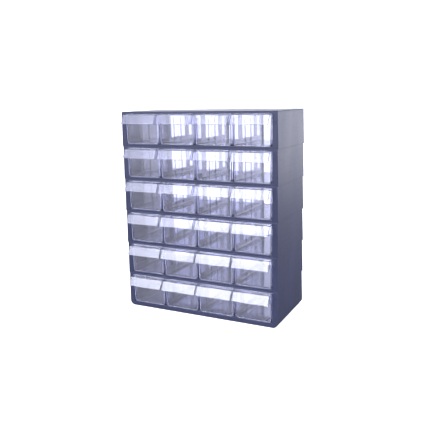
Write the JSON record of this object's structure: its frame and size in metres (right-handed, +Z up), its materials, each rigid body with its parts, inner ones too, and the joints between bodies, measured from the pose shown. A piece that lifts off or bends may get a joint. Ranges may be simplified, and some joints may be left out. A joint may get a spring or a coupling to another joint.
{
  "type": "parts organizer",
  "caption": "Small-parts cabinet of stacked dark housing tiers, open at the back, with clear drawers that slide out by hooded pull lips.",
  "frame": {"origin": "middle of the whole footprint, pull lips included, on the surface that the cabinet stands on", "axes": "+X right as the drawers are faced, +Y towards the open back, +Z up; drawers pull out along -Y"},
  "size_m": [0.308, 0.1584, 0.3753],
  "materials": {
    "housing": "satin moulded polypropylene, dark slate violet",
    "drawer": "clear glossy polystyrene with a faint lilac tint"
  },
  "bodies": {
    "cabinet": {"tier_1": "housing", "tier_2": "housing", "tier_3": "housing", "tier_4": "housing", "tier_5": "housing", "tier_6": "housing", "top_cover": "housing"},
    "drawer_t1_c1": {"drawer_t1_c1": "drawer"},
    "drawer_t1_c2": {"drawer_t1_c2": "drawer"},
    "drawer_t1_c3": {"drawer_t1_c3": "drawer"},
    "drawer_t1_c4": {"drawer_t1_c4": "drawer"},
    "drawer_t2_c1": {"drawer_t2_c1": "drawer"},
    "drawer_t2_c2": {"drawer_t2_c2": "drawer"},
    "drawer_t2_c3": {"drawer_t2_c3": "drawer"},
    "drawer_t2_c4": {"drawer_t2_c4": "drawer"},
    "drawer_t3_c1": {"drawer_t3_c1": "drawer"},
    "drawer_t3_c2": {"drawer_t3_c2": "drawer"},
    "drawer_t3_c3": {"drawer_t3_c3": "drawer"},
    "drawer_t3_c4": {"drawer_t3_c4": "drawer"},
    "drawer_t4_c1": {"drawer_t4_c1": "drawer"},
    "drawer_t4_c2": {"drawer_t4_c2": "drawer"},
    "drawer_t4_c3": {"drawer_t4_c3": "drawer"},
    "drawer_t4_c4": {"drawer_t4_c4": "drawer"},
    "drawer_t5_c1": {"drawer_t5_c1": "drawer"},
    "drawer_t5_c2": {"drawer_t5_c2": "drawer"},
    "drawer_t5_c3": {"drawer_t5_c3": "drawer"},
    "drawer_t5_c4": {"drawer_t5_c4": "drawer"},
    "drawer_t6_c1": {"drawer_t6_c1": "drawer"},
    "drawer_t6_c2": {"drawer_t6_c2": "drawer"},
    "drawer_t6_c3": {"drawer_t6_c3": "drawer"},
    "drawer_t6_c4": {"drawer_t6_c4": "drawer"}
  },
  "joints": [
    {"name": "drawer_t1_c1_slide", "type": "slide", "parent": "cabinet", "child": "drawer_t1_c1", "axis": [0, -1, 0], "range_m": [0, 0.1046]},
    {"name": "drawer_t1_c2_slide", "type": "slide", "parent": "cabinet", "child": "drawer_t1_c2", "axis": [0, -1, 0], "range_m": [0, 0.1046]},
    {"name": "drawer_t1_c3_slide", "type": "slide", "parent": "cabinet", "child": "drawer_t1_c3", "axis": [0, -1, 0], "range_m": [0, 0.1046]},
    {"name": "drawer_t1_c4_slide", "type": "slide", "parent": "cabinet", "child": "drawer_t1_c4", "axis": [0, -1, 0], "range_m": [0, 0.1046]},
    {"name": "drawer_t2_c1_slide", "type": "slide", "parent": "cabinet", "child": "drawer_t2_c1", "axis": [0, -1, 0], "range_m": [0, 0.1046]},
    {"name": "drawer_t2_c2_slide", "type": "slide", "parent": "cabinet", "child": "drawer_t2_c2", "axis": [0, -1, 0], "range_m": [0, 0.1046]},
    {"name": "drawer_t2_c3_slide", "type": "slide", "parent": "cabinet", "child": "drawer_t2_c3", "axis": [0, -1, 0], "range_m": [0, 0.1046]},
    {"name": "drawer_t2_c4_slide", "type": "slide", "parent": "cabinet", "child": "drawer_t2_c4", "axis": [0, -1, 0], "range_m": [0, 0.1046]},
    {"name": "drawer_t3_c1_slide", "type": "slide", "parent": "cabinet", "child": "drawer_t3_c1", "axis": [0, -1, 0], "range_m": [0, 0.1046]},
    {"name": "drawer_t3_c2_slide", "type": "slide", "parent": "cabinet", "child": "drawer_t3_c2", "axis": [0, -1, 0], "range_m": [0, 0.1046]},
    {"name": "drawer_t3_c3_slide", "type": "slide", "parent": "cabinet", "child": "drawer_t3_c3", "axis": [0, -1, 0], "range_m": [0, 0.1046]},
    {"name": "drawer_t3_c4_slide", "type": "slide", "parent": "cabinet", "child": "drawer_t3_c4", "axis": [0, -1, 0], "range_m": [0, 0.1046]},
    {"name": "drawer_t4_c1_slide", "type": "slide", "parent": "cabinet", "child": "drawer_t4_c1", "axis": [0, -1, 0], "range_m": [0, 0.1046]},
    {"name": "drawer_t4_c2_slide", "type": "slide", "parent": "cabinet", "child": "drawer_t4_c2", "axis": [0, -1, 0], "range_m": [0, 0.1046]},
    {"name": "drawer_t4_c3_slide", "type": "slide", "parent": "cabinet", "child": "drawer_t4_c3", "axis": [0, -1, 0], "range_m": [0, 0.1046]},
    {"name": "drawer_t4_c4_slide", "type": "slide", "parent": "cabinet", "child": "drawer_t4_c4", "axis": [0, -1, 0], "range_m": [0, 0.1046]},
    {"name": "drawer_t5_c1_slide", "type": "slide", "parent": "cabinet", "child": "drawer_t5_c1", "axis": [0, -1, 0], "range_m": [0, 0.1046]},
    {"name": "drawer_t5_c2_slide", "type": "slide", "parent": "cabinet", "child": "drawer_t5_c2", "axis": [0, -1, 0], "range_m": [0, 0.1046]},
    {"name": "drawer_t5_c3_slide", "type": "slide", "parent": "cabinet", "child": "drawer_t5_c3", "axis": [0, -1, 0], "range_m": [0, 0.1046]},
    {"name": "drawer_t5_c4_slide", "type": "slide", "parent": "cabinet", "child": "drawer_t5_c4", "axis": [0, -1, 0], "range_m": [0, 0.1046]},
    {"name": "drawer_t6_c1_slide", "type": "slide", "parent": "cabinet", "child": "drawer_t6_c1", "axis": [0, -1, 0], "range_m": [0, 0.1046]},
    {"name": "drawer_t6_c2_slide", "type": "slide", "parent": "cabinet", "child": "drawer_t6_c2", "axis": [0, -1, 0], "range_m": [0, 0.1046]},
    {"name": "drawer_t6_c3_slide", "type": "slide", "parent": "cabinet", "child": "drawer_t6_c3", "axis": [0, -1, 0], "range_m": [0, 0.1046]},
    {"name": "drawer_t6_c4_slide", "type": "slide", "parent": "cabinet", "child": "drawer_t6_c4", "axis": [0, -1, 0], "range_m": [0, 0.1046]}
  ]
}
